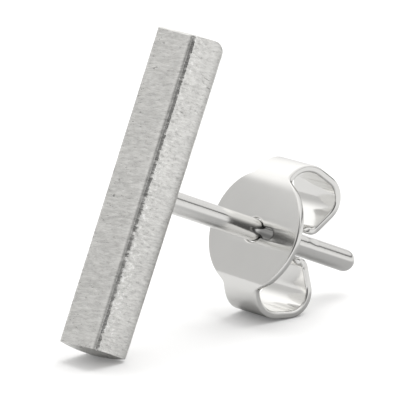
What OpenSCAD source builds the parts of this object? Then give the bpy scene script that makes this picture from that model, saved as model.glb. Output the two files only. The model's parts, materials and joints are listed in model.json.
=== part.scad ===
// Bar stud earring with its butterfly back, lying at rest as a stud lies by itself: the bar stands on
// the back edge of its lower end and the butterfly back stands on its lower scroll, so the bar leans back.
// Each piece is drawn in the stud's own axes: X across the bar, Y out of the bar's back along the post,
// Z along the bar, with zero where the post's axis meets the back of the bar. at_rest() then lays it down.

/* [Bar] */
// Length of the bar along its own axis
bar_length = 12; // [10:0.25:14]
// Width of the bar across its front
bar_width = 1.85; // [1.4:0.05:2.6]
// Depth of the bar from front to back
bar_depth = 1.85; // [1.4:0.05:2.6]
// How much shorter the bar is along its front than at its back, at each end
end_fall = 0.1; // [0.02:0.01:0.25]
// Rounding along the two long front edges
front_edge_round = 0.08; // [0.03:0.01:0.2]
// Rounding along the two long back edges
back_edge_round = 0.2; // [0.1:0.01:0.35]
// Rounding of the upper back edge, which tumbling has worn the most
top_back_round = 0.45; // [0.2:0.01:0.6]
// Rounding of the lower back edge, on which the bar stands
foot_round = 0.15; // [0.08:0.01:0.3]
// Rounding of the front edges of both ends
end_front_round = 0.1; // [0.04:0.01:0.2]

/* [Post] */
// Diameter of the post
post_diameter = 0.85; // [0.7:0.05:1]
// Length of the post behind the bar
post_length = 10.6; // [10:0.1:12]
// Radius of the solder fillet around the foot of the post
solder_fillet = 0.12; // [0.04:0.01:0.2]
// Distance from the back of the bar to the friction groove, into which a butterfly back can snap
groove_place = 7.95; // [7.5:0.05:8.6]
// Width of that groove
groove_width = 0.5; // [0.5:0.02:0.6]
// Depth of that groove
groove_depth = 0.04; // [0.02:0.01:0.08]

/* [Butterfly back] */
// Distance from the back of the bar to the plate of the butterfly back
plate_distance = 5; // [3.5:0.1:6]
// Thickness of the sheet that the butterfly back is bent from
sheet = 0.28; // [0.2:0.01:0.32]
// Width of the plate at its widest, in the middle
plate_width = 4.5; // [3.4:0.1:5]
// Radius of the two arcs that bound the plate
plate_arc_radius = 2.3; // [2.25:0.05:3.4]
// Width of the narrow waist between the plate and a scroll
waist_width = 1.6; // [1.2:0.05:1.8]
// Width of a scroll at the back, where it is widest
scroll_width = 2.3; // [1.9:0.05:2.6]
// Width of a scroll near its tip
tip_width = 1.7; // [1.4:0.05:2]
// Gap all round between the post and the butterfly back
running_gap = 0.03; // [0.02:0.01:0.06]
// Length of the slot across the hole, which lets the plate spring on the post
slot_length = 1.95; // [1.4:0.05:2.4]
// Height of that slot
slot_height = 0.42; // [0.3:0.02:0.5]

/* [Hidden] */

$fn = 96;
ARC_STEP = 10;      // largest angle between the corners that stand for a small rounding
BEND_STEP = 6;      // the same on the bends of the butterfly back
WIDTH_STEP = 0.16;  // distance between sections where the strip is straight
OVERLAP = 0.3;      // how deep the foot of the post is let into the bar

post_r = post_diameter / 2;
hole_r = post_r + running_gap;

// The corners of an arc about a centre, from one angle to another, at steps of at most step degrees
function arc(centre, r, from, to, step = ARC_STEP) =
    let (count = ceil(abs(to - from) / step))
    [for (i = [0 : count])
        let (a = from + (to - from) * i / count)
        [centre[0] + r * cos(a), centre[1] + r * sin(a)]];

// Bar: the outline seen from the side, in Y and Z, and the outline seen along the bar, in X and Y.
// Both ends fall away a little from the back to the front.
half_length = bar_length / 2;
front_half_length = half_length - end_fall;

function side_outline() = concat(
    arc([-top_back_round, half_length - top_back_round], top_back_round, 0, 90),
    arc([end_front_round - bar_depth, front_half_length - end_front_round], end_front_round, 90, 180),
    arc([end_front_round - bar_depth, end_front_round - front_half_length], end_front_round, 180, 270),
    arc([-foot_round, foot_round - half_length], foot_round, 270, 360));

function cross_outline() =
    let (
        x_front = bar_width / 2 - front_edge_round,
        x_back = bar_width / 2 - back_edge_round,
        y_front = front_edge_round - bar_depth)
    concat(
        arc([x_back, -back_edge_round], back_edge_round, 0, 90),
        arc([-x_back, -back_edge_round], back_edge_round, 90, 180),
        arc([-x_front, y_front], front_edge_round, 180, 270),
        arc([x_front, y_front], front_edge_round, 270, 360));

// Butterfly back: one strip, bent the same way above and below the post. Its path is the outer face of
// the strip from the middle of the plate to the tip of the upper scroll, in Y and Z.
flat_length = 1.7;     // from the middle of the plate to the first bend
shoulder_radius = 1.25;
shoulder_slope = 16;   // how far the strip slopes back down behind its shoulder, in degrees
slope_length = 0.6;
back_radius = 1;       // the wide bend at the back
run_in_slope = 118;    // the same angle where the strip runs in to the post, past straight down
tip_radius = 0.45;     // the last bend, which lies on the post
tip_lift = 50;         // how far the tip is turned up off the post, in degrees

// A row is one stretch of the path: its length if it is straight, or else its radius and its turn in degrees
LENGTH = 0;
RADIUS = 1;
TURN = 2;
BACK_BEND = 3;
TIP_LIFT = 6;
function stretches(run_in_length) = [
    [flat_length, 0, 0],
    [0, shoulder_radius, 90 + shoulder_slope],
    [slope_length, 0, 0],
    [0, back_radius, run_in_slope - shoulder_slope],
    [run_in_length, 0, 0],
    [0, tip_radius, 180 - run_in_slope],
    [0, tip_radius, tip_lift]
];

// A pose on the path is [Y, Z, heading, length so far], with the heading in degrees from +Y
function along(pose, row, part = 1) =
    let (
        h = pose[2],
        r = row[RADIUS],
        to = h - row[TURN] * part,
        run = row[LENGTH] * part,
        sweep = r * row[TURN] * part * PI / 180)
    r == 0
    ? [pose[0] + run * cos(h), pose[1] + run * sin(h), h, pose[3] + run]
    : [pose[0] + r * (sin(h) - sin(to)), pose[1] + r * (cos(to) - cos(h)), to, pose[3] + sweep];

function pose_before(rows, index, pose = [plate_distance, 0, 90, 0], i = 0) =
    i == index ? pose : pose_before(rows, index, along(pose, rows[i]), i + 1);

// The run in is as long as brings the strip down to the post with the running gap between them
lowest_without = pose_before(stretches(0), TIP_LIFT)[1];
rows = stretches((lowest_without - hole_r) / sin(run_in_slope));

function steps(row) = row[RADIUS] == 0
    ? ceil(row[LENGTH] / WIDTH_STEP)
    : ceil(row[TURN] / BEND_STEP);

stations = concat(
    [[plate_distance, 0, 90, 0]],
    [for (i = [0 : len(rows) - 1])
        let (start = pose_before(rows, i), count = steps(rows[i]))
        for (k = [1 : count]) along(start, rows[i], k / count)]);
back_start = pose_before(rows, BACK_BEND);
strip_end = stations[len(stations) - 1][3];

// Half the strip's width at a length along it: the plate's arc, then the waist, the scroll and its tip
waist_at = 2.4;                         // length along the strip at which a scroll begins to widen
widest_at = back_start[3] + back_radius;
tip_round = 0.35;                       // length over which the tip is rounded off
tip_narrowing = 0.9;                    // 1 would bring the tip to a point
blend = 0.1;                            // how softly the plate's arc runs out into the waist
function ease(x) = (1 - cos(180 * min(1, max(0, x)))) / 2;
function plate_half(s) =
    plate_width / 2 - plate_arc_radius + sqrt(max(0, pow(plate_arc_radius, 2) - s * s));
function scroll_half(s) = s < widest_at
    ? waist_width / 2 + (scroll_width - waist_width) / 2 * ease((s - waist_at) / (widest_at - waist_at))
    : scroll_width / 2 - (scroll_width - tip_width) / 2 * ease((s - widest_at) / (strip_end - widest_at));
function tip_factor(s) =
    let (t = max(0, s - (strip_end - tip_round)) / tip_round)
    sqrt(1 - tip_narrowing * t * t);
function half_width(s) =
    let (a = plate_half(s), b = scroll_half(s) * tip_factor(s))
    (a + b + sqrt(pow(a - b, 2) + blend * blend)) / 2;

// The four corners of the strip's section at a station, with side 1 for the upper half and -1 for the lower
function section(station, side) =
    let (
        w = half_width(station[3]),
        y = station[0],
        z = station[1] * side,
        inner_y = y + sheet * sin(station[2]),
        inner_z = (station[1] - sheet * cos(station[2])) * side)
    [[-w, y, z], [w, y, z], [w, inner_y, inner_z], [-w, inner_y, inner_z]];

// Rest: the lean at which the bar's lower back edge and the bend of the lower scroll touch one level floor
scroll_y = back_start[0] + back_radius * sin(back_start[2]);
scroll_z = back_start[1] - back_radius * cos(back_start[2]);
reach_y = scroll_y + foot_round;
reach_z = half_length - foot_round - scroll_z;
lean = atan2(reach_z, reach_y)
    + asin((foot_round - back_radius) / sqrt(reach_y * reach_y + reach_z * reach_z));
rest_height = (half_length - foot_round) * cos(lean) - foot_round * sin(lean) + foot_round;
// The row's origin is midway between the bar's lower front edge and the tip of the post
front_reach = (bar_depth - end_front_round) * cos(lean)
    + (front_half_length - end_front_round) * sin(lean) + end_front_round;
tip_reach = (post_length - post_r) * cos(lean) + post_r;
rest_shift = (front_reach - tip_reach) / 2;

module at_rest() {
    translate([0, rest_shift, rest_height]) rotate([-lean, 0, 0]) children();
}

module bar() {
    intersection() {
        translate([-bar_width / 2, 0, 0]) rotate([90, 0, 90])
            linear_extrude(height = bar_width) polygon(side_outline());
        translate([0, 0, -half_length])
            linear_extrude(height = bar_length) polygon(cross_outline());
    }
}

module post() {
    foot = arc([post_r + solder_fillet, solder_fillet], solder_fillet, 270, 180);
    groove_r = (pow(groove_width / 2, 2) + pow(groove_depth, 2)) / (2 * groove_depth);
    opening = asin(groove_width / 2 / groove_r);
    groove = arc([post_r - groove_depth + groove_r, groove_place], groove_r, 180 + opening, 180 - opening);
    tip = arc([0, post_length - post_r], post_r, 0, 90);
    rotate([-90, 0, 0]) rotate_extrude()
        polygon(concat([[0, -OVERLAP], [post_r + solder_fillet, -OVERLAP]], foot, groove, tip));
}

module bar_with_post() {
    color("silver") at_rest() {
        bar();
        post();
    }
}

module strip() {
    upper = [for (s = stations) section(s, 1)];
    lower = [for (i = [len(stations) - 1 : -1 : 1]) section(stations[i], -1)];
    sections = concat(lower, upper);
    last = len(sections) - 1;
    corners = [for (s = sections) each s];
    walls = [for (i = [0 : last - 1]) for (k = [0 : 3])
        let (a = 4 * i + k, b = 4 * i + (k + 1) % 4)
        each [[a, b, b + 4], [a, b + 4, a + 4]]];
    end = 4 * last;
    caps = [[0, 2, 1], [0, 3, 2], [end, end + 1, end + 2], [end, end + 2, end + 3]];
    polyhedron(points = corners, faces = concat(walls, caps));
}

// The hole for the post and the slot across it, both through the plate alone
module post_hole() {
    depth = 3 * sheet;
    slot_end = (slot_length - slot_height) / 2;
    translate([0, plate_distance - sheet, 0]) rotate([-90, 0, 0]) {
        cylinder(r = hole_r, h = depth);
        for (side = [-1, 1]) translate([side * slot_end, 0, 0]) cylinder(d = slot_height, h = depth);
        translate([-slot_end, -slot_height / 2, 0]) cube([2 * slot_end, slot_height, depth]);
    }
}

module butterfly_back() {
    color("gainsboro") at_rest() difference() {
        strip();
        post_hole();
    }
}

bar_with_post();
butterfly_back();
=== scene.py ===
# %% [markdown]
# A bar stud earring, standing on its own as it would on a table: a square bar of brushed silver, a
# polished post soldered to its back, and a butterfly back bent from one strip of polished sheet.
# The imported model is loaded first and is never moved. Every piece below takes its place from it.

# %% Load the frame
import json
import math

import bmesh
import bpy
import numpy as np
from mathutils import Matrix, Vector, noise


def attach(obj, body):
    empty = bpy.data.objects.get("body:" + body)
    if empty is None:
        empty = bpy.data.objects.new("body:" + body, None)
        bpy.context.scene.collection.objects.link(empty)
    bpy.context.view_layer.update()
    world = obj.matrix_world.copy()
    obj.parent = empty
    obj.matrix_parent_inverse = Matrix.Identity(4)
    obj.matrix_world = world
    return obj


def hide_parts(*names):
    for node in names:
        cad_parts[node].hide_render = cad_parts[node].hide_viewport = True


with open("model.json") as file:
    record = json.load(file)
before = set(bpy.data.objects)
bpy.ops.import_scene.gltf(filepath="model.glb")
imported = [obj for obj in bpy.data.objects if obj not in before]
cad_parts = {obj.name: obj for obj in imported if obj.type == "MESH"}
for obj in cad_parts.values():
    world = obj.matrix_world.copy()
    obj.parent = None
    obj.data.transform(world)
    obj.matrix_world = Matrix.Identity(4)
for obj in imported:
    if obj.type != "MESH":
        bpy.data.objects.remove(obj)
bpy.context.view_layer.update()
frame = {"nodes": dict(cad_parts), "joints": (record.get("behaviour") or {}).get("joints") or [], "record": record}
MM = 0.001

# %% [markdown]
# The stud leans, so its pieces are easiest to draw in the stud's own axes and to lay down afterwards.
# X runs across the bar, Y out of its back along the post, Z along the bar, and zero is where the axis
# of the post meets the back of the bar. The slide joint gives the direction of the post, and the mount
# between the bar and the butterfly back gives a point on it.

# %% The stud's own axes
mounts = {mount["name"]: mount for mount in frame["record"]["mounts"]}
ear = mounts["ear_post"]
post_way = Vector(frame["joints"][0]["axis"]).normalized()
bar_way = Vector((1, 0, 0)).cross(post_way)
own_axes = np.array([(1, 0, 0), post_way, bar_way])
zero = Vector(ear["pos_m"]) - post_way * ear["dims"]["length_mm"] * MM / 2
lean = math.asin(bar_way.y)
print("the bar leans back by", round(math.degrees(lean), 2), "degrees")


def laid_down(points):
    """Points in the stud's own axes, in millimetres, as places in the row frame, in metres."""
    return np.asarray(points, float) * MM @ own_axes + np.array(zero)


def own_box(node):
    """The lowest and highest corners of a CAD node in the stud's own axes, in millimetres."""
    places = np.array([vertex.co for vertex in frame["nodes"][node].data.vertices], float)
    own = (places - np.array(zero)) @ own_axes.T / MM
    return own.min(axis=0), own.max(axis=0)


# %% Sizes read off the frame, in millimetres
stud_low, stud_high = own_box("bar_with_post")
back_low, back_high = own_box("butterfly_back")
bar_width = 2 * stud_high[0]
bar_depth = -stud_low[1]
bar_half = stud_high[2]
post_length = stud_high[1]
post_r = mounts["post_end"]["dims"]["r_mm"]
plate_distance = back_low[1]
plate_width = 2 * back_high[0]
print("bar", round(bar_width, 3), "x", round(bar_depth, 3), "x", round(2 * bar_half, 3), "mm")
print("post", round(2 * post_r, 3), "x", round(post_length, 3), "mm")
print("the plate is", round(plate_distance, 3), "mm behind the bar")

# %% Sizes of the sheet and its slot, in millimetres, as in the part's source
sheet = 0.28
slot_half = 0.975
slot_r = 0.21
print("the sheet is", sheet, "mm thick, and its slot is", 2 * slot_half, "mm long")

# %% [markdown]
# Most pieces here are rings of points, joined ring by ring, because a ring can follow any outline and
# any bend. A few small helpers do the work that the pieces share: they join the rings, turn points and
# faces into an object, smooth it but keep the edges that are truly sharp, and hand it over to the frame.


# %% Helpers for meshes
def faces_between(levels, around):
    """Four-sided faces that join each ring of points to the next."""
    faces = []
    for level in range(levels - 1):
        for k in range(around):
            a = level * around + k
            b = level * around + (k + 1) % around
            faces.append((a, b, b + around, a + around))
    return faces


def new_piece(name, points, faces):
    """An object from points in the stud's own axes; its place is in its mesh."""
    mesh = bpy.data.meshes.new(name)
    mesh.from_pydata([tuple(place) for place in laid_down(points)], [], faces)
    mesh.update()
    piece = bpy.data.objects.new(name, mesh)
    bpy.context.scene.collection.objects.link(piece)
    return piece


def clean(mesh, merge=0.0002 * MM, sharp_degrees=40):
    """Merges doubles, turns all faces outwards, and shades smooth up to an angle."""
    work = bmesh.new()
    work.from_mesh(mesh)
    bmesh.ops.remove_doubles(work, verts=work.verts, dist=merge)
    bmesh.ops.dissolve_degenerate(work, edges=work.edges, dist=merge)
    bmesh.ops.recalc_face_normals(work, faces=work.faces)
    for face in work.faces:
        face.smooth = True
    for edge in work.edges:
        if len(edge.link_faces) == 2:
            edge.smooth = edge.calc_face_angle(0) < math.radians(sharp_degrees)
    work.to_mesh(mesh)
    work.free()
    mesh.update()


def count_triangles(piece):
    return sum(len(face.vertices) - 2 for face in piece.data.polygons)


def hand_over(piece, body, node, material):
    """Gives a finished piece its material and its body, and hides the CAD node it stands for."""
    piece.data.materials.clear()
    piece.data.materials.append(material)
    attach(piece, body)
    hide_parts(node)
    print(piece.name, "has", count_triangles(piece), "triangles")


# %% [markdown]
# Materials and the butterfly's Geometry Nodes both need arithmetic on sockets. A small class wraps a
# socket, so that an expression such as 1 - mask adds the Math nodes that it needs. Any other node is
# added by one method, which takes its type, its settings and what goes into its sockets.


# %% Arithmetic in node trees
class Term:
    """A number in a node tree."""

    def __init__(self, tree, socket):
        self.tree = tree
        self.socket = socket

    def maths(self, operation, *values):
        node = self.tree.nodes.new("ShaderNodeMath")
        node.operation = operation
        for slot, value in zip(node.inputs, values):
            connect(self.tree, slot, value)
        return Term(self.tree, node.outputs[0])

    def __add__(self, other):
        return self.maths("ADD", self, other)

    def __radd__(self, other):
        return self.maths("ADD", other, self)

    def __sub__(self, other):
        return self.maths("SUBTRACT", self, other)

    def __rsub__(self, other):
        return self.maths("SUBTRACT", other, self)

    def __mul__(self, other):
        return self.maths("MULTIPLY", self, other)

    def __rmul__(self, other):
        return self.maths("MULTIPLY", other, self)

    def __truediv__(self, other):
        return self.maths("DIVIDE", self, other)

    def root(self):
        return self.maths("SQRT", self)

    def size(self):
        return self.maths("ABSOLUTE", self)

    def sign(self):
        return self.maths("SIGN", self)

    def at_least(self, other):
        return self.maths("MAXIMUM", self, other)

    def at_most(self, other):
        return self.maths("MINIMUM", self, other)

    def below(self, other):
        return self.maths("LESS_THAN", self, other)

    def cosine(self):
        return self.maths("COSINE", self)

    def rise(self, start, end):
        """0 up to start, 1 from end on, and a smooth climb between them."""
        part = ((self - start) / (end - start)).at_least(0).at_most(1)
        return part * part * (3 - 2 * part)


def connect(tree, slot, value):
    """Links a term or a socket to a slot, or sets the slot to a plain value."""
    if isinstance(value, Term):
        tree.links.new(value.socket, slot)
    elif isinstance(value, bpy.types.NodeSocket):
        tree.links.new(value, slot)
    else:
        slot.default_value = value


def add_node(tree, kind, settings=None, **inputs):
    """Adds a node. Settings are set first; an input is named by its socket, with _ for a space."""
    node = tree.nodes.new(kind)
    for name, value in (settings or {}).items():
        setattr(node, name, value)
    for name, value in inputs.items():
        connect(tree, node.inputs[name.replace("_", " ")], value)
    return node


# %% [markdown]
# Silver has no colour of its own beyond a slight warmth, so nearly all of its look is in how it is
# worked. The bar was drawn across an abrasive belt: that leaves fine scratches that run across its
# width on every face. They could be painted on a picture, face by face. Here they are a noise in the
# stud's own axes, stretched along X and Y and squeezed along Z, so one pattern serves the front and the
# sides and meets at the edges. Bright flecks, small pits and a few nicks lie over it; the bright flecks
# by the ridge carry painted glints in their colour. The side's colour is a little darker than the
# front's, as painted shade, and the side goes dull towards the back, where the belt did not reach:
# there it is rougher, and its colour is darkened further as painted shade.


# %% A material with the stud's own coordinates
def new_material(name):
    """A material, its tree and its shader, with the coordinates of the stud in millimetres."""
    material = bpy.data.materials.new(name)
    material.use_nodes = True
    tree = material.node_tree
    tree.nodes.clear()
    shader = add_node(tree, "ShaderNodeBsdfPrincipled", None, Metallic=1.0)
    add_node(tree, "ShaderNodeOutputMaterial", None, Surface=shader.outputs["BSDF"])
    place = add_node(tree, "ShaderNodeTexCoord")
    own = add_node(
        tree,
        "ShaderNodeMapping",
        {"vector_type": "TEXTURE"},
        Vector=place.outputs["Object"],
        Location=tuple(zero),
        Rotation=(-lean, 0, 0),
        Scale=(MM, MM, MM),
    )
    return material, tree, shader, own.outputs["Vector"]


def stretched(tree, own, scale):
    """The stud's coordinates times a scale for each axis."""
    node = add_node(tree, "ShaderNodeVectorMath", {"operation": "MULTIPLY"})
    connect(tree, node.inputs[0], own)
    node.inputs[1].default_value = scale
    return node.outputs["Vector"]


def noise_term(tree, vector, detail, roughness=0.55):
    """Smooth noise from 0 to 1 over a vector."""
    node = add_node(tree, "ShaderNodeTexNoise", None, Vector=vector, Scale=1.0, Detail=detail)
    connect(tree, node.inputs["Roughness"], roughness)
    return Term(tree, node.outputs["Fac"])


def own_parts(tree, own):
    """The X, Y and Z of a vector, each as a term."""
    node = add_node(tree, "ShaderNodeSeparateXYZ", None, Vector=own)
    return [Term(tree, socket) for socket in node.outputs]


def tint(tree, colour, shade):
    """A colour times a varying shade."""
    node = add_node(tree, "ShaderNodeVectorMath", {"operation": "SCALE"})
    node.inputs[0].default_value = colour
    connect(tree, node.inputs["Scale"], shade)
    return node.outputs["Vector"]


# %% Brushed silver
brushed_colour = (0.80, 0.795, 0.775)
slant_across = 0.13
slant_back = 0.03
edge_band = 0.1
worn_from = 0.62
nick_slope = 0.12
nick_half_width = 0.022
nick_places = ((-0.56, 4.53, 0.2), (-0.33, 4.25, 0.14), (-1.25, 3.1, 0.1))


def nick(y, z, at_y, at_z, half_length):
    """A short dark nick on a side face, lying across the bar and a little out of level."""
    along = (y - at_y) / half_length
    off = (z - at_z + nick_slope * (y - at_y)) / nick_half_width
    return 1 - (along * along + off * off).root().rise(0.6, 1.2)


def brushed_silver():
    material, tree, shader, own = new_material("brushed_silver")
    x, y, z = own_parts(tree, own)
    slanted = add_node(tree, "ShaderNodeCombineXYZ")
    for slot, part in zip(slanted.inputs, (x, y, z - slant_across * x - slant_back * y)):
        connect(tree, slot, part)
    grain = slanted.outputs["Vector"]
    strokes = noise_term(tree, stretched(tree, grain, (3, 3, 13)), detail=2, roughness=0.75)
    long_strokes = noise_term(tree, stretched(tree, grain, (0.8, 0.8, 6)), detail=2)
    cloud = noise_term(tree, stretched(tree, grain, (0.5, 0.5, 0.35)), detail=2)
    nicks = noise_term(tree, stretched(tree, grain, (5, 5, 11)), detail=2, roughness=0.6)
    flecks = noise_term(tree, stretched(tree, grain, (5, 5, 10)), detail=2, roughness=0.7)

    on_side = (x.size() - (bar_width / 2 - edge_band)).rise(0, 0.04)
    by_ridge = on_side * (1 - (y + bar_depth).rise(0.15, 1.1))
    downwards = 0.6 + 0.4 * (1 - z.rise(-5, 3))
    # Bright flecks by the ridge are rough spots whose colour carries painted glints, denser lower down.
    flecks_and_painted_glints = flecks.rise(0.52, 0.7) * by_ridge * downwards
    dark = (1 - flecks.rise(0.3, 0.46)) * on_side
    left = 1 - (x + bar_width / 2).rise(0.2, 1.1)
    pits = (1 - nicks.rise(0.28, 0.39)) * (1 - on_side) * (0.35 + 0.65 * left)

    # Towards the back of the side the metal turns rougher, and its colour is darkened there as painted shade.
    dull_and_painted_shade = on_side * (y + worn_from).rise(0, 0.6)
    nicked = sum(nick(y, z, *where) for where in nick_places).at_most(1) * on_side
    # The side's colour is made 3 per cent darker than the front's, as painted shade.
    shade = 1 - 0.03 * on_side + 0.8 * (strokes - 0.5)
    shade = shade + 0.2 * (long_strokes - 0.5) + 0.08 * (cloud - 0.5)
    shade = shade + 0.5 * flecks_and_painted_glints - 0.22 * dark - 0.6 * pits - 0.45 * nicked
    # Painted shade: the colour darkens towards the back of the side.
    shade = shade * (1 - 0.25 * dull_and_painted_shade)
    connect(tree, shader.inputs["Base Color"], tint(tree, brushed_colour, shade))
    connect(tree, shader.inputs["Roughness"], 0.30 + 0.16 * (strokes - 0.5) - 0.1 * flecks_and_painted_glints + 0.3 * dull_and_painted_shade)
    height = strokes + 0.5 * long_strokes + 1.1 * flecks * (0.2 + by_ridge) - 0.8 * pits
    bump = add_node(tree, "ShaderNodeBump", None, Strength=0.5, Distance=0.02 * MM, Height=height)
    connect(tree, shader.inputs["Normal"], bump.outputs["Normal"])
    return material


brushed = brushed_silver()
print("made", brushed.name)

# %% [markdown]
# The post and the butterfly back are polished, so they are nearly mirrors with a few hairlines. Their
# colour is darkened as painted shade inside the punched hole, around the slot, and on the post beside
# the hole, where the inside of the clasp lies in shade. It is worked out from the place in the stud's
# own axes, so it sits exactly at the slot. The painted shade around the slot belongs to the back and
# travels with it, and the soft painted shade on the post belongs to the post, so the two are separate
# materials of the same metal.


# %% Polished silver
polished_colour = (0.87, 0.865, 0.85)
painted_shade_width = 0.17
post_painted_shade_strength = 0.65


# Painted shade: darkens the colour in and around the punched slot, deeper in the hole most.
def slot_painted_shade(x, y, z):
    """How strong the painted shade is in the punched slot and close around it."""
    past_arm = (x.size() - (slot_half - slot_r)).at_least(0)
    past_slot = (past_arm * past_arm + z * z).root() - slot_r
    depth = y - plate_distance
    close_by = (1 - past_slot.rise(0, painted_shade_width)) * (1 - depth.rise(sheet - 0.01, sheet))
    return close_by * (0.6 + 0.32 * depth.rise(0.02, 0.08))


# Painted shade: darkens the colour on the post's right side beside the hole.
def painted_shade_on_post(x, y, z):
    """How strong the soft painted shade is on the post's right side, beside the hole."""
    right_side = x.rise(0.2, 0.42) * (1 - z.size().rise(0.1, 0.3))
    past_plate = y - plate_distance
    return post_painted_shade_strength * right_side * past_plate.rise(-0.35, 0) * (1 - past_plate.rise(0.6, 1.1))


def polished_silver(name, painted_shade):
    """Polished silver, darker where its painted shade lies."""
    material, tree, shader, own = new_material(name)
    cloud = noise_term(tree, stretched(tree, own, (1.1, 1.1, 1.1)), detail=2)
    hair = noise_term(tree, stretched(tree, own, (6, 1.5, 22)), detail=3)
    shade = 0.97 + 0.05 * (cloud - 0.5)
    # The colour is darkened by the material's painted shade.
    shade = shade * (1 - painted_shade(*own_parts(tree, own)))
    connect(tree, shader.inputs["Base Color"], tint(tree, polished_colour, shade))
    connect(tree, shader.inputs["Roughness"], 0.13 + 0.06 * (hair - 0.5) + 0.04 * (cloud - 0.5))
    bump = add_node(tree, "ShaderNodeBump", None, Strength=0.12, Distance=0.004 * MM, Height=hair)
    connect(tree, shader.inputs["Normal"], bump.outputs["Normal"])
    return material


# The post's material carries the painted shade beside the hole.
polished = polished_silver("polished_silver", painted_shade_on_post)
# The back's material carries the painted shade in and around its slot.
polished_back = polished_silver("polished_silver_back", slot_painted_shade)
print("made", polished.name, "and", polished_back.name)

# %% [markdown]
# The bar is a square rod, and a block with bevels would do for its size, but it would look like plastic.
# On the real one the front face rolls over towards its right long edge and stops there at a sharp,
# slightly ragged burr. The left front edge is nearly sharp, the back edges are rounder, and the upper
# back edge is worn round. Bevels would make these edges alike, so the bar is drawn as rings instead: an
# outline across the bar, repeated along it, that is drawn in over a rounded rim at both ends.
#
# Each end has sizes of its own. Its rim goes in from the side, the front and the back, and runs down the
# back by back_down. Its face is raised by dome in the middle and stops short of the bar's full length.
# It falls towards the front, and skew tips it from left to right.

# %% Sizes of the bar's edges, in millimetres
roll_width = 0.36
roll_drop = 0.165
roll_power = 2.7
left_roll_width = 0.03
left_roll_drop = 0.025
burr_out = 0.016
burr_height = 0.03
worn_in = 0.085
back_edge_r = 0.13
foot_taper = 0.08
ends = {
    "top": {
        "way": 1, "side": 0.04, "front": 0.05, "back": 0.70, "back_down": 0.46,
        "dome": 0.02, "short": 0.0, "fall": 0.165, "skew": -0.02,
    },
    "foot": {
        "way": -1, "side": 0.025, "front": 0.025, "back": 0.14, "back_down": 0.12,
        "dome": 0.15, "short": 0.015, "fall": 0.055, "skew": 0.068,
    },
}
ring_step = 0.02
face_shares = (0.0, 0.15, 0.3, 0.45, 0.6, 0.7, 0.8, 0.88, 0.95)


def arc(centre_a, centre_b, radius, start, end, count):
    """Points on an arc, from start to end in degrees."""
    turns = np.radians(np.linspace(start, end, count))
    return [(centre_a + radius * math.cos(t), centre_b + radius * math.sin(t)) for t in turns]


def half_outline(width_of_roll, drop_of_roll, burr):
    """One half of the outline across the bar, in X and Y, from the middle of its back forwards.

    With it comes the number of the point at the tip of the burr.
    """
    side = bar_width / 2
    back_x = side - worn_in - back_edge_r
    back = [(x, 0.0) for x in np.linspace(0, back_x, 7)[:-1]]
    back = back + arc(back_x, -back_edge_r, back_edge_r, 90, 12, 7)
    edge_y = drop_of_roll - bar_depth
    flank = []
    for y in np.linspace(-back_edge_r, edge_y, 22)[1:]:
        worn = worn_in * (max(0, y + worn_from) / worn_from) ** 2.2
        raised = burr * max(0, 1 - (y - edge_y) / burr_height)
        flank.append((side - worn + raised, y))
    rolled = []
    for part in np.linspace(1, 0, 13)[1:]:
        rolled.append((side - width_of_roll * (1 - part), drop_of_roll * part**roll_power - bar_depth))
    front = [(x, -bar_depth) for x in np.linspace(side - width_of_roll, 0, 9)[1:]]
    return back + flank + rolled + front, len(back) + len(flank) - 1


right_half, burr_index = half_outline(roll_width, roll_drop, burr_out)
left_half = [(-x, y) for x, y in half_outline(left_roll_width, left_roll_drop, 0)[0]]
outline = np.array(right_half + left_half[-2:0:-1])
print("the outline across the bar has", len(outline), "points")


# %% The bar's rings
def core_of(points, end):
    """The nearest points inside the rounded rim of an end."""
    side = bar_width / 2 - end["side"]
    x = np.clip(points[:, 0], -side, side)
    y = np.clip(points[:, 1], end["front"] - bar_depth, -end["back"])
    return np.column_stack([x, y])


def rim_height(points, core, end):
    """How far down the bar the rounded rim starts, for each point of the outline."""
    across = points[:, 0] - core[:, 0]
    back = np.maximum(points[:, 1] - core[:, 1], 0) * end["back_down"] / end["back"]
    front = np.maximum(core[:, 1] - points[:, 1], 0)
    return np.sqrt(across**2 + back**2 + front**2)


def end_level(points, end):
    """Height of an end's rim: it falls towards the front and is a little out of square."""
    fall = end["fall"] * (-points[:, 1] / bar_depth)
    level = end["way"] * (bar_half - end["short"] - fall) + end["skew"] * points[:, 0]
    return np.clip(level, -bar_half, bar_half)


def end_rings(end):
    """Rings over one end, from the middle of its domed face out to where the straight bar starts."""
    core = core_of(outline, end)
    height = rim_height(outline, core, end)
    rings = []
    for share in face_shares:
        flat = core * share + np.array([0, -bar_depth / 2]) * (1 - share)
        level = end_level(flat, end) + end["way"] * end["dome"] * (1 - share**2.2)
        rings.append(np.column_stack([flat, level]))
    for turn in np.radians(np.linspace(90, 0, 9)):
        flat = core + (outline - core) * math.cos(turn)
        level = end_level(flat, end) - end["way"] * height * (1 - math.sin(turn))
        rings.append(np.column_stack([flat, level]))
    return rings


top_rings = end_rings(ends["top"])
foot_rings = end_rings(ends["foot"])
ring_count = round(2 * bar_half / ring_step)
between = []
for share in np.linspace(0, 1, ring_count)[1:-1]:
    between.append(foot_rings[-1] * (1 - share) + top_rings[-1] * share)
rings = foot_rings + between + top_rings[::-1]
print("the bar has", len(rings), "rings")


# %% The ragged burr and the small unevenness of the faces
burr_y = outline[burr_index, 1]
burr_reach = 0.07
jag_sideways = 0.012
jag_backwards = 0.045
uneven_sideways = 0.004
uneven_backwards = 0.003


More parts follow.
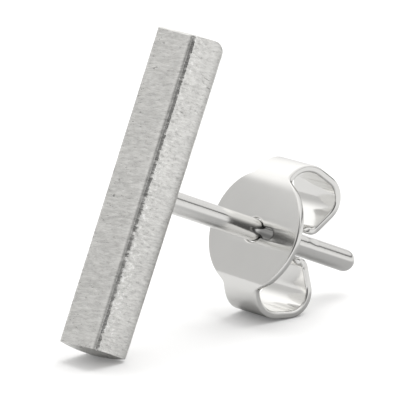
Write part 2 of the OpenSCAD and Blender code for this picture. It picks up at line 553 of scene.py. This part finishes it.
def roughened(ring):
    """Thins the foot a little and moves points by a little smooth noise, most at the burr."""
    moved = ring.copy()
    for index, (x, y, z) in enumerate(ring):
        down = max(0, 0.5 - z / (2 * bar_half)) ** 1.5
        moved[index, 1] -= foot_taper * down * (1 + y / bar_depth)
        moved[index, 0] += uneven_sideways * noise.noise(Vector((x * 1.5, y * 1.5, z * 1.1)))
        moved[index, 1] += uneven_backwards * noise.noise(Vector((x * 1.3 + 9, y * 1.3, z * 1.4)))
        from_burr = math.hypot(y - burr_y, x - bar_width / 2)
        if from_burr < burr_reach:
            share = 1 - from_burr / burr_reach
            jag = noise.noise(Vector((5, 3, z * 5))) + noise.noise(Vector((1, 7, z * 12)))
            moved[index, 0] += jag_sideways * share * jag
            moved[index, 1] += jag_backwards * share * jag
    return moved


rings = [roughened(ring) for ring in rings]
bar = new_piece("bar", np.vstack(rings), faces_between(len(rings), len(outline)))
clean(bar.data, sharp_degrees=34)
hand_over(bar, "stud", "bar_with_post", brushed)

# %% [markdown]
# The post is a round wire. A cylinder with rounded ends would be close, but the solder and the groove
# would have to be added to it. So it is turned like work on a lathe: one profile along its axis, carried
# round in steps. The profile has the small fillet of solder at the bar, the straight wire, the shallow
# groove into which a butterfly back can snap, and the rounded end that finds the way through an ear.

# %% The post
solder_r = 0.12
groove_place = 7.95
groove_half = 0.25
groove_depth = 0.006
let_in = 0.25
wire_start = 0.4
clear_of_bend = 0.1
groove_r = (groove_half**2 + groove_depth**2) / (2 * groove_depth)
open_angle = math.degrees(math.asin(groove_half / groove_r))


def post_profile():
    """Points of (radius, distance along the post), from inside the bar to the tip."""
    fillet = arc(post_r + solder_r, solder_r, solder_r, 270, 180, 9)
    groove_centre = post_r - groove_depth + groove_r
    groove = arc(groove_centre, groove_place, groove_r, 180 + open_angle, 180 - open_angle, 13)
    tip = arc(0, post_length - post_r, post_r, 0, 90, 17)
    wire_end = groove_place - groove_half - clear_of_bend
    wire = [(post_r, y) for y in np.linspace(wire_start, wire_end, 24)]
    free_start = groove_place + groove_half + clear_of_bend
    free_end = post_length - post_r - clear_of_bend
    free = [(post_r, y) for y in np.linspace(free_start, free_end, 8)]
    return [(0, -let_in), (post_r + solder_r, -let_in)] + fillet + wire + groove + free + tip


def turned(profile, steps=96):
    """Carries a profile round the axis of the post."""
    points = []
    for radius, along in profile:
        for t in np.linspace(0, 2 * math.pi, steps, endpoint=False):
            points.append((radius * math.cos(t), along, radius * math.sin(t)))
    return points, faces_between(len(profile), steps)


post = new_piece("post", *turned(post_profile()))
clean(post.data)
hand_over(post, "stud", "bar_with_post", polished)

# %% [markdown]
# The butterfly back is one strip of sheet. Seen from the side its line is a few straight lengths and
# bends, the same above and below the post; seen flat, the strip is an oval plate in the middle, a waist
# on either side, and then a scroll that widens and narrows again. It could be a flat outline thickened
# and bent, but then every bend needs its own modifier. A piece that follows a rule like this is made
# well by Geometry Nodes: a curve for the line, a rounded rectangle carried along it, and an expression
# that slides both edges out to the width which the strip has there. The length of the last straight,
# the run-in, follows from the rest: its lowest point has to stay a running gap away from the post.

# %% The line of the strip, in millimetres
flat_length = 1.7
shoulder_radius = 1.25
shoulder_slope = 16
slope_length = 0.6
back_radius = 1.0
run_in_slope = 118
tip_radius = 0.45
tip_lift = 50
running_gap = 0.03
hole_r = post_r + running_gap
bend_step = 3
straight_step = 0.08


def strip_rows(run_in_length):
    """The stretches from the middle of the plate to a tip: length, radius and turn in degrees."""
    return [
        (flat_length, 0, 0),
        (0, shoulder_radius, 90 + shoulder_slope),
        (slope_length, 0, 0),
        (0, back_radius, run_in_slope - shoulder_slope),
        (run_in_length, 0, 0),
        (0, tip_radius, 180 - run_in_slope),
        (0, tip_radius, tip_lift),
    ]


def walk(rows):
    """Places along the outer face of the strip as (y, z, heading, length so far)."""
    y, z, heading, so_far = plate_distance, 0.0, 90.0, 0.0
    places = [(y, z, heading, so_far)]
    for length, radius, turn in rows:
        steps = math.ceil(turn / bend_step if radius else length / straight_step)
        for _ in range(steps):
            start = math.radians(heading)
            if radius:
                heading -= turn / steps
                end = math.radians(heading)
                y += radius * (math.sin(start) - math.sin(end))
                z += radius * (math.cos(end) - math.cos(start))
                so_far += radius * math.radians(turn / steps)
            else:
                y += length / steps * math.cos(start)
                z += length / steps * math.sin(start)
                so_far += length / steps
            places.append((y, z, heading, so_far))
    return places


height_without_run_in = walk(strip_rows(0)[:6])[-1][1]
run_in_length = (height_without_run_in - hole_r) / math.sin(math.radians(run_in_slope))
upper = walk(strip_rows(run_in_length))
strip_end = upper[-1][3]
back_start = walk(strip_rows(run_in_length)[:3])[-1][3]
middle_line = []
for y, z, heading, so_far in upper:
    inwards = math.radians(heading)
    middle_line.append((0, y + sheet / 2 * math.sin(inwards), z - sheet / 2 * math.cos(inwards)))
lower_line = [(x, y, -z) for x, y, z in reversed(middle_line[1:])]
strip_line = lower_line + middle_line
lengths_along = [-row[3] for row in reversed(upper[1:])] + [row[3] for row in upper]
print("the strip is", round(2 * strip_end, 2), "mm long")


# %% A curve along the middle of the sheet
def line_object(name, places, lengths):
    """A mesh of edges, with the length along the strip kept on each point."""
    mesh = bpy.data.meshes.new(name)
    edges = [(k, k + 1) for k in range(len(places) - 1)]
    mesh.from_pydata([tuple(Vector(place) * MM) for place in places], edges, [])
    kept = mesh.attributes.new("along", "FLOAT", "POINT")
    kept.data.foreach_set("value", [length * MM for length in lengths])
    line = bpy.data.objects.new(name, mesh)
    bpy.context.scene.collection.objects.link(line)
    return line


strip = line_object("butterfly_line", strip_line, lengths_along)
print("its line has", len(strip_line), "points")


# %% [markdown]
# The tree reads the length along the strip from each point, works out half the width there, and moves
# the swept edges out to it. Where the plate's arc meets the scroll the wider of the two counts, with a
# soft change over the length Blend. The lower waist stands a little to the right, by Lower shift. The
# sizes are named inputs, so that the same tree makes another size.

# %% The tree that widens the strip
tip_draw_in = 0.9


def ease(term):
    """0 up to 0, 1 from 1 on, and half a cosine wave between them."""
    return (1 - (math.pi * term.at_least(0).at_most(1)).cosine()) / 2


def strip_tree(sizes):
    tree = bpy.data.node_groups.new("bent_strip", "GeometryNodeTree")
    tree.interface.new_socket("Line", in_out="INPUT", socket_type="NodeSocketGeometry")
    for name in sizes:
        tree.interface.new_socket(name, in_out="INPUT", socket_type="NodeSocketFloat")
    tree.interface.new_socket("Material", in_out="INPUT", socket_type="NodeSocketMaterial")
    tree.interface.new_socket("Strip", in_out="OUTPUT", socket_type="NodeSocketGeometry")
    given = add_node(tree, "NodeGroupInput").outputs
    size = {name: Term(tree, given[name]) for name in sizes}
    stored = add_node(tree, "GeometryNodeInputNamedAttribute", None, Name="along")
    signed = Term(tree, stored.outputs[0])
    along = signed.size()

    arc_r = size["Plate arc radius"]
    plate = size["Plate width"] / 2 - arc_r + (arc_r * arc_r - along * along).at_least(0).root()
    widening = ease((along - size["Waist at"]) / (size["Widest at"] - size["Waist at"]))
    narrowing = ease((along - size["Widest at"]) / (size["Strip end"] - size["Widest at"]))
    waist = size["Waist width"] / 2 + (size["Scroll width"] - size["Waist width"]) / 2 * widening
    scroll = waist - (size["Scroll width"] - size["Tip width"]) / 2 * narrowing
    into_tip = (along - (size["Strip end"] - size["Tip round"])).at_least(0) / size["Tip round"]
    scroll = scroll * (1 - tip_draw_in * into_tip * into_tip).root()
    apart = plate - scroll
    half = (plate + scroll + (apart * apart + size["Blend"] * size["Blend"]).root()) / 2

    leaving = ease(along / size["Waist at"] * 2 - 1)
    sideways = size["Lower shift"] * signed.below(0) * leaving * (1 - widening)

    to_curve = add_node(tree, "GeometryNodeMeshToCurve", None, Mesh=given["Line"])
    line = add_node(tree, "GeometryNodeSetCurveNormal", {"mode": "FREE"}, Curve=to_curve.outputs[0])
    line.inputs["Normal"].default_value = (1, 0, 0)
    section = add_node(tree, "GeometryNodeCurvePrimitiveQuadrilateral")
    connect(tree, section.inputs["Width"], size["Section width"])
    connect(tree, section.inputs["Height"], size["Sheet"])
    rounded = add_node(tree, "GeometryNodeFilletCurve", {"mode": "POLY"}, Curve=section.outputs[0])
    connect(tree, rounded.inputs["Count"], 6)
    connect(tree, rounded.inputs["Radius"], size["Edge radius"])
    swept = add_node(tree, "GeometryNodeCurveToMesh", None, Curve=line.outputs[0], Fill_Caps=True)
    connect(tree, swept.inputs["Profile Curve"], rounded.outputs[0])
    place = add_node(tree, "GeometryNodeInputPosition")
    x = Term(tree, add_node(tree, "ShaderNodeSeparateXYZ", None, Vector=place.outputs[0]).outputs["X"])
    outwards = add_node(tree, "ShaderNodeCombineXYZ")
    connect(tree, outwards.inputs["X"], x.sign() * (half - size["Section width"] / 2) + sideways)
    widened = add_node(
        tree, "GeometryNodeSetPosition", None, Geometry=swept.outputs[0], Offset=outwards.outputs[0]
    )
    real = add_node(tree, "GeometryNodeRealizeInstances", None, Geometry=widened.outputs[0])
    painted = add_node(
        tree, "GeometryNodeSetMaterial", None, Geometry=real.outputs[0], Material=given["Material"]
    )
    output = add_node(tree, "NodeGroupOutput")
    tree.links.new(painted.outputs[0], output.inputs["Strip"])
    return tree


strip_sizes = {
    "Plate width": plate_width,
    "Plate arc radius": 2.3,
    "Waist at": 2.4,
    "Waist width": 1.7,
    "Widest at": back_start + back_radius,
    "Scroll width": 2.3,
    "Strip end": strip_end,
    "Tip width": 1.7,
    "Tip round": 0.35,
    "Blend": 0.2,
    "Lower shift": 0.08,
    "Section width": 0.4,
    "Sheet": sheet,
    "Edge radius": 0.09,
}
bent_strip = strip_tree(strip_sizes)
print("the tree has", len(bent_strip.nodes), "nodes")


# %% Run the tree and keep its mesh
def run_tree(piece, tree, values, material):
    """Runs a tree on an object and returns the result as a plain mesh."""
    modifier = piece.modifiers.new(tree.name, "NODES")
    modifier.node_group = tree
    for item in tree.interface.items_tree:
        if item.in_out == "INPUT" and item.name in values:
            modifier[item.identifier] = float(values[item.name]) * MM
        if item.in_out == "INPUT" and item.name == "Material":
            modifier[item.identifier] = material
    evaluated = piece.evaluated_get(bpy.context.evaluated_depsgraph_get())
    mesh = bpy.data.meshes.new_from_object(evaluated)
    piece.modifiers.remove(modifier)
    return mesh


swept_mesh = run_tree(strip, bent_strip, strip_sizes, polished_back)
own_to_row = Matrix.Translation(zero) @ Matrix.Rotation(-lean, 4, "X")
swept_mesh.transform(own_to_row)
back = bpy.data.objects.new("butterfly_back", swept_mesh)
bpy.context.scene.collection.objects.link(back)
bpy.data.objects.remove(strip)
clean(back.data)
print("the bent strip has", count_triangles(back), "triangles")

# %% [markdown]
# The hole is punched: round for the post, with a slot across it that lets the plate spring. A punch
# leaves a rolled rim. A bevel on the cut edge would catch on its small faces, so the rim is part of the
# cutter, which flares out where it meets each face of the plate, most in front.

# %% The punched hole
front_flare = 0.09
rear_flare = 0.06
cutter_past = 0.15


def punch_reach(t):
    """How far the punched opening reaches from the post's axis, in a direction in the plate."""
    across = abs(math.cos(t))
    up = abs(math.sin(t))
    reach = hole_r
    if up < 1e-6 or slot_r * across / up > slot_half - slot_r:
        centre = slot_half - slot_r
        reach = max(reach, centre * across + math.sqrt(max(0, slot_r**2 - (centre * up) ** 2)))
    else:
        reach = max(reach, slot_r / up)
    return reach


def flared(flare):
    """Depth below a face, and how far the cutter has grown there, on a quarter round."""
    turns = np.radians(np.linspace(0, 90, 9))
    quarter = [(flare * (1 - math.cos(t)), flare * (1 - math.sin(t))) for t in turns]
    return [(-cutter_past, flare)] + quarter


def punch(steps=144):
    """The cutter as rings through the plate, flared at both faces."""
    front = flared(front_flare)
    behind = [(sheet - depth, grow) for depth, grow in reversed(flared(rear_flare))]
    levels = front + behind
    points = []
    for depth, grow in levels:
        for t in np.linspace(0, 2 * math.pi, steps, endpoint=False):
            reach = punch_reach(t) + grow
            points.append((reach * math.cos(t), plate_distance + depth, reach * math.sin(t)))
    first_cap = tuple(range(steps))
    last_cap = tuple(range(len(points) - steps, len(points)))
    return new_piece("punch", points, faces_between(len(levels), steps) + [first_cap, last_cap])


cutter = punch()
clean(cutter.data)
cut = back.modifiers.new("punched", "BOOLEAN")
cut.operation = "DIFFERENCE"
cut.solver = "EXACT"
cut.object = cutter
punched = bpy.data.meshes.new_from_object(back.evaluated_get(bpy.context.evaluated_depsgraph_get()))
back.modifiers.remove(cut)
back.data = punched
bpy.data.objects.remove(cutter)
clean(back.data)
hand_over(back, "back", "butterfly_back", polished_back)

# %% [markdown]
# The stage is a white table under a light tent. Metal shows what stands around it, so the tent is drawn
# with care: bright behind and above, dimmer in front, dark at the mouth where the camera looks in, and
# with one thin dark gap at the back edge of the table, which draws the fine line along the post. Pieces
# of real card would do the same, but a rule on directions is quicker to tune and casts no shadow. The
# table is card too. It glows a little, as painted light, which keeps the shadows under the foot and the
# back pale. The metal sees it as grey, and darker beside the post's end, where the stud shades it.

# %% The table, in metres
table_half = 3
shade_centre = (0.0032, 0.0062)
shade_start = 0.003
shade_end = 0.008
corners = [(-1, -1), (1, -1), (1, 1), (-1, 1)]
table_mesh = bpy.data.meshes.new("table")
table_mesh.from_pydata([(table_half * x, table_half * y, 0) for x, y in corners], [], [(0, 1, 2, 3)])
table = bpy.data.objects.new("table", table_mesh)
bpy.context.scene.collection.objects.link(table)


def white_card():
    """White card that glows a little, as painted light. The picture shows it white; the metal sees it as grey."""
    card = bpy.data.materials.new("white_card")
    card.use_nodes = True
    tree = card.node_tree
    tree.nodes.clear()
    place = add_node(tree, "ShaderNodeTexCoord").outputs["Object"]
    x, y = own_parts(tree, place)[:2]
    right = x - shade_centre[0]
    behind = y - shade_centre[1]
    away = (right * right + behind * behind).root()
    seen_in_metal = Term(tree, add_node(tree, "ShaderNodeLightPath").outputs["Is Glossy Ray"])
    grey = 0.36 + 0.26 * away.rise(shade_start, shade_end)
    shade = seen_in_metal * grey + (1 - seen_in_metal) * 0.78
    diffuse = add_node(tree, "ShaderNodeBsdfDiffuse", None, Color=tint(tree, (1, 1, 1), shade))
    # The card glows a little, as painted light that lifts its shadows.
    glow = add_node(tree, "ShaderNodeEmission", None, Strength=(1 - seen_in_metal) * 0.14)
    lit = add_node(tree, "ShaderNodeAddShader")
    connect(tree, lit.inputs[0], diffuse.outputs["BSDF"])
    connect(tree, lit.inputs[1], glow.outputs["Emission"])
    add_node(tree, "ShaderNodeOutputMaterial", None, Surface=lit.outputs["Shader"])
    return card


table_mesh.materials.append(white_card())
print("the table is", table.dimensions.x, "m wide")

# %% Where the camera stands
camera_turn = math.radians(47.1)
camera_rise = math.radians(15.3)
towards_camera = Vector(
    (
        math.sin(camera_turn) * math.cos(camera_rise),
        -math.cos(camera_turn) * math.cos(camera_rise),
        math.sin(camera_rise),
    )
)


# %% The light tent
bright_corner = (-0.62, 0.35, 0.70)
dim_front = (-0.75, -0.66, 0)
gap_behind = (0.45, 0.89, 0)


def light_tent():
    world = bpy.data.worlds.new("light_tent")
    bpy.context.scene.world = world
    world.use_nodes = True
    tree = world.node_tree
    tree.nodes.clear()
    way = add_node(tree, "ShaderNodeTexCoord").outputs["Generated"]
    z = own_parts(tree, way)[2]

    def facing(direction):
        """How squarely a ray goes in a direction: 1 straight along it, and less to the sides."""
        node = add_node(tree, "ShaderNodeVectorMath", {"operation": "DOT_PRODUCT"})
        connect(tree, node.inputs[0], way)
        node.inputs[1].default_value = direction
        return Term(tree, node.outputs["Value"])

    wall = 0.80 + 0.18 * z.rise(0.25, 0.75)
    key = 0.28 * facing(bright_corner).rise(0.6, 0.95)
    front = facing(dim_front).rise(0.3, 0.9) * (1 - z.rise(0.3, 0.7))
    mouth = facing(tuple(towards_camera)).rise(0.6, 1.02)
    gap = z.rise(0.15, 0.165) * (1 - z.rise(0.25, 0.265)) * facing(gap_behind).rise(0.5, 0.8)
    strength = (wall + key) * (1 - 0.25 * front) * (1 - 0.9 * mouth) * (1 - 0.8 * gap)
    background = add_node(tree, "ShaderNodeBackground", None, Color=(1, 0.995, 0.985, 1))
    connect(tree, background.inputs["Strength"], strength)
    add_node(tree, "ShaderNodeOutputWorld", None, Surface=background.outputs["Background"])
    return world


tent = light_tent()
print("made the", tent.name)

# %% The lamp above the table
lamp_way = Vector((-0.06, 0.47, 0.88))
lamp_light = bpy.data.lights.new("soft_lamp", "SUN")
lamp_light.angle = math.radians(52)
lamp_light.energy = 1.7
lamp = bpy.data.objects.new("soft_lamp", lamp_light)
lamp.rotation_euler = lamp_way.to_track_quat("Z", "Y").to_euler()
lamp.visible_glossy = False
bpy.context.scene.collection.objects.link(lamp)
print("the lamp gives", lamp_light.energy, "watts to a square metre")

# %% [markdown]
# The camera looks from the photograph's side, to the right of the stud and a little above it, with a
# long lens that keeps the edges of the bar parallel. Its aim is a point beside the stud, so that the
# stud sits in the frame as it does in the photograph.

# %% The camera, with its distance in metres
camera_distance = 0.135
film_width = 36
pixels_per_mm = 27.75
stud_pixel = (161.9, 198.5)
picture_size = 400
camera_right = Vector((math.cos(camera_turn), math.sin(camera_turn), 0))
camera_up = towards_camera.cross(camera_right)
aim_right = (picture_size / 2 - stud_pixel[0]) / pixels_per_mm * MM
aim_up = (stud_pixel[1] - picture_size / 2) / pixels_per_mm * MM
camera_data = bpy.data.cameras.new("camera")
camera = bpy.data.objects.new("camera", camera_data)
bpy.context.scene.collection.objects.link(camera)
camera.location = zero + towards_camera * camera_distance
camera.location += camera_right * aim_right + camera_up * aim_up
camera.rotation_euler = Matrix((camera_right, camera_up, towards_camera)).transposed().to_euler()
camera_data.sensor_width = film_width
camera_data.lens = film_width * pixels_per_mm * camera_distance / MM / picture_size
camera_data.clip_start = 0.01
camera_data.clip_end = 20
bpy.context.scene.camera = camera
bpy.context.scene.view_settings.view_transform = "Standard"
print("the lens is", round(camera_data.lens), "mm")
